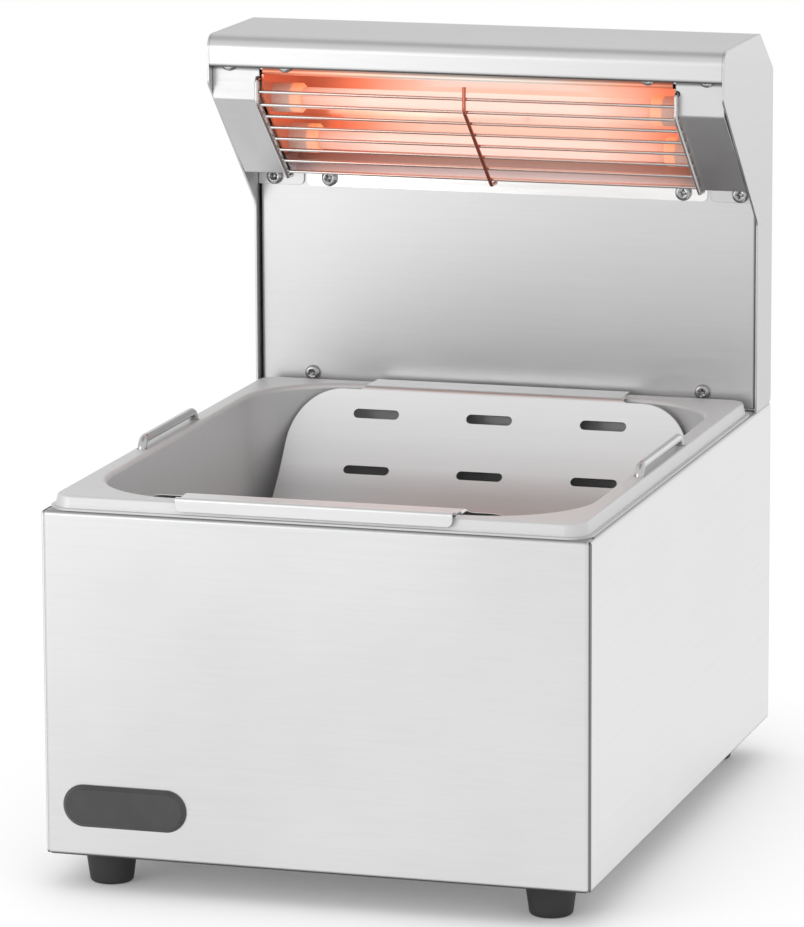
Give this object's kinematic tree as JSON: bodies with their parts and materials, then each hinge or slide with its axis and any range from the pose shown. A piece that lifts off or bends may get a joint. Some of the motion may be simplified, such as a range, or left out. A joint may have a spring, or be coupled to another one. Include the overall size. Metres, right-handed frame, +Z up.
{
  "type": "fry warmer",
  "caption": "Countertop fry warmer: sheet-steel casing with a lift-out pan and perforated cradle, and a rear column whose hood holds infrared quartz tubes behind a wire guard.",
  "frame": {"origin": "on the table under the feet, at the middle of the part's width and length", "axes": "+Z up, -Y towards the user at the front, +X to the user's right"},
  "size_m": [0.268, 0.3724, 0.378],
  "materials": {
    "satin_steel": "satin brushed stainless sheet",
    "pan_steel": "fine satin drawn stainless sheet",
    "wire_steel": "bright drawn wire",
    "screw_steel": "bright plated",
    "reflector_sheet": "polished",
    "quartz": "clear quartz, glowing when on",
    "heating_alloy": "glowing resistance alloy",
    "ceramic": "glazed steatite",
    "foot_rubber": "matte black",
    "badge_black": "satin black",
    "gland_black": "matte black",
    "switch_black": "glossy black",
    "block_white": "matte white",
    "wire_brown": "silicone sleeve",
    "wire_blue": "silicone sleeve",
    "wire_green": "silicone sleeve"
  },
  "bodies": {
    "chassis": {"front_panel": "satin_steel", "back_panel": "satin_steel", "side_panel_right": "satin_steel", "side_panel_left": "satin_steel", "base_plate": "satin_steel", "rear_deck": "satin_steel", "column_front_panel": "satin_steel", "cheek_right": "satin_steel", "cheek_left": "satin_steel", "hood_top": "satin_steel", "rear_cover": "satin_steel", "end_cover_right": "satin_steel", "end_cover_left": "satin_steel", "reflector": "reflector_sheet", "end_plate_right": "reflector_sheet", "end_plate_left": "reflector_sheet", "heater_rail": "satin_steel", "wire_guard": "wire_steel", "quartz_tube_upper": "quartz", "quartz_tube_lower": "quartz", "heating_coil_upper": "heating_alloy", "heating_coil_lower": "heating_alloy", "ceramic_cap_upper_right": "ceramic", "ceramic_cap_upper_left": "ceramic", "ceramic_cap_lower_right": "ceramic", "ceramic_cap_lower_left": "ceramic", "heater_terminals": "screw_steel", "badge_plate": "badge_black", "foot_front_left": "foot_rubber", "foot_front_right": "foot_rubber", "foot_rear_left": "foot_rubber", "foot_rear_right": "foot_rubber", "foot_screws": "screw_steel", "foot_nuts": "screw_steel", "bay_screws_lower": "screw_steel", "bay_screws_upper": "screw_steel", "column_screws": "screw_steel", "cheek_screws": "screw_steel", "base_screws": "screw_steel", "rear_cover_screws": "screw_steel", "back_panel_screws": "screw_steel", "gland_body": "gland_black", "gland_nut": "gland_black", "switch_body": "switch_black", "terminal_block": "block_white", "earth_stud": "screw_steel", "neutral_wire": "wire_blue", "switched_wire": "wire_brown", "live_wire": "wire_brown", "earth_wire": "wire_green", "link_wires": "wire_brown"},
    "pan": {"pan": "pan_steel"},
    "insert": {"fry_insert": "satin_steel"},
    "handle_left": {"pan_handle_left": "wire_steel"},
    "handle_right": {"pan_handle_right": "wire_steel"},
    "rocker": {"switch_rocker": "switch_black"}
  },
  "joints": [
    {"name": "pan_lift", "type": "slide", "parent": "chassis", "child": "pan", "axis": [0, 0, 1], "range_m": [0, 0.095]},
    {"name": "insert_tilt", "type": "hinge", "parent": "pan", "child": "insert", "pos_m": [0, 0.141, 0.1908], "axis": [-1, 0, 0], "range_deg": [0, 22]},
    {"name": "handle_left_pull", "type": "slide", "parent": "pan", "child": "handle_left", "axis": [0, 0, 1], "range_m": [0, 0.022]},
    {"name": "handle_right_pull", "type": "slide", "parent": "pan", "child": "handle_right", "axis": [0, 0, 1], "range_m": [0, 0.022]},
    {"name": "switch_rock", "type": "hinge", "parent": "chassis", "child": "rocker", "pos_m": [0.085, 0.1722, 0.067], "axis": [-1, 0, 0], "range_deg": [0, 20]}
  ]
}
